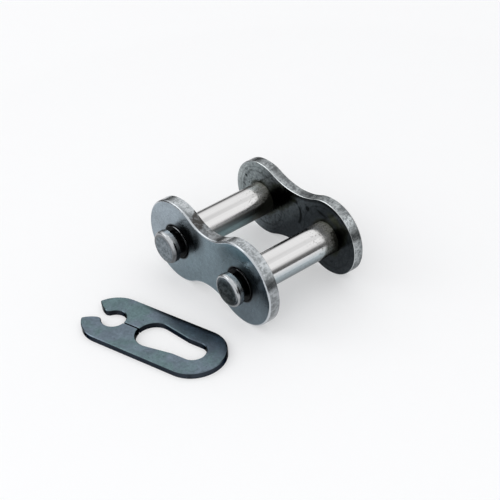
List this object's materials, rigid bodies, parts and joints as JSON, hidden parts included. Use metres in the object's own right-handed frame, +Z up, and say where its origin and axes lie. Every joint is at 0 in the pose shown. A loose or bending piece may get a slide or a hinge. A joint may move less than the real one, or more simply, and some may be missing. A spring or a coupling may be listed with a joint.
{
  "type": "chain connecting link",
  "caption": "Roller chain connecting link: waisted plates on grooved pins, the cover plate slipping off them, with its keyhole spring clip taken off and laid beside it.",
  "frame": {"origin": "midway between the two pins, on their axes and halfway between the plates, in the space that the chain's inner link fills", "axes": "+X along the chain from the left pin to the right pin, -Y along the pins towards their grooved ends, the cover plate and the loose clip, +Z up"},
  "size_m": [0.0242, 0.0324, 0.012],
  "materials": {
    "pin_plate_steel": "blue-grey hardened steel, satin, oiled, with scuffs and bright worn edges",
    "pin_steel": "ground and polished barrel, dull oiled end faces",
    "cover_plate_steel": "blue-grey hardened steel, satin, with bright rolled edges",
    "clip_steel": "dark blued spring steel, smooth and faintly oily"
  },
  "bodies": {
    "link": {"pin_plate": "pin_plate_steel", "left_pin": "pin_steel", "right_pin": "pin_steel", "spring_clip": "clip_steel"},
    "cover": {"cover_plate": "cover_plate_steel"}
  },
  "joints": [
    {"name": "cover_slide", "type": "slide", "parent": "link", "child": "cover", "axis": [0, -1, 0], "range_m": [-0.0125, 0.0037]}
  ]
}
